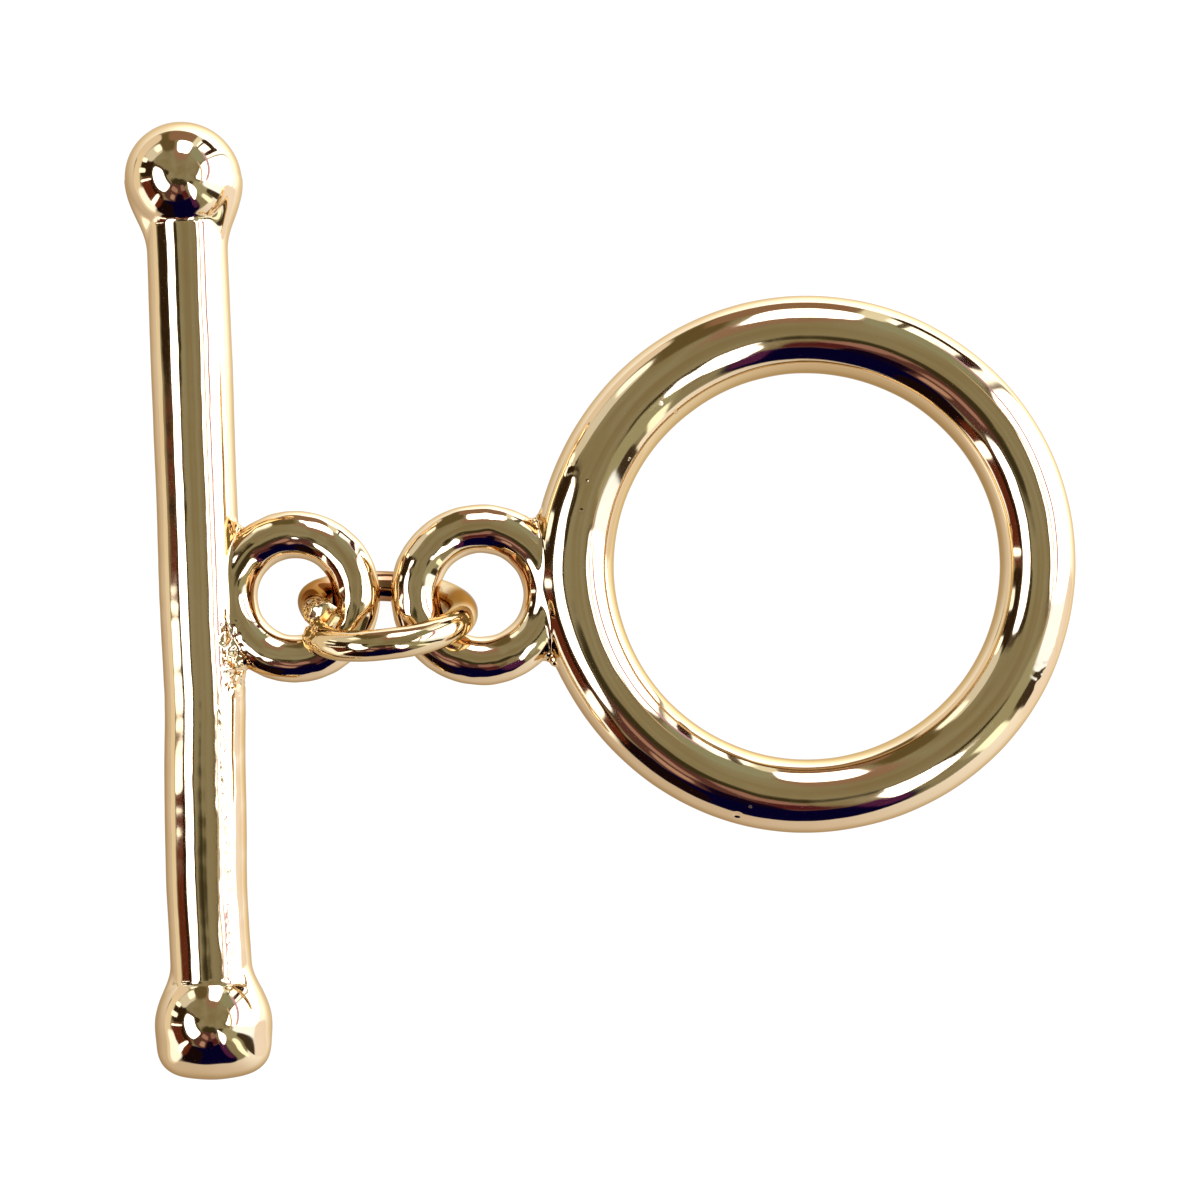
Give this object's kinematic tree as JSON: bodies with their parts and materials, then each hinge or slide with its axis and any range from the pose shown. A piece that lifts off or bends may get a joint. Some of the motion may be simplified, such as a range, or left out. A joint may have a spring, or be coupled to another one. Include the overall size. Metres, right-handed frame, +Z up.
{
  "type": "toggle clasp",
  "caption": "Jewellery toggle clasp: a ball-ended bar with a side eye, joined by a cut jump ring to a large round ring with its own small eye.",
  "frame": {"origin": "middle of the clasp's outline seen from above, on the surface that it lies on", "axes": "+Z up from the surface, +Y towards the ball end of the bar, +X from the bar towards the ring"},
  "size_m": [0.0248, 0.025, 0.0045],
  "materials": {
    "cast_gold": "bright polished pale gold plate over a casting, with fine casting pits and soft waves",
    "wire_gold": "bright drawn wire with pale gold plate and a few nicks at the cut"
  },
  "bodies": {
    "root": {"toggle_bar": "cast_gold", "connecting_link": "wire_gold", "toggle_ring": "cast_gold"}
  },
  "joints": []
}
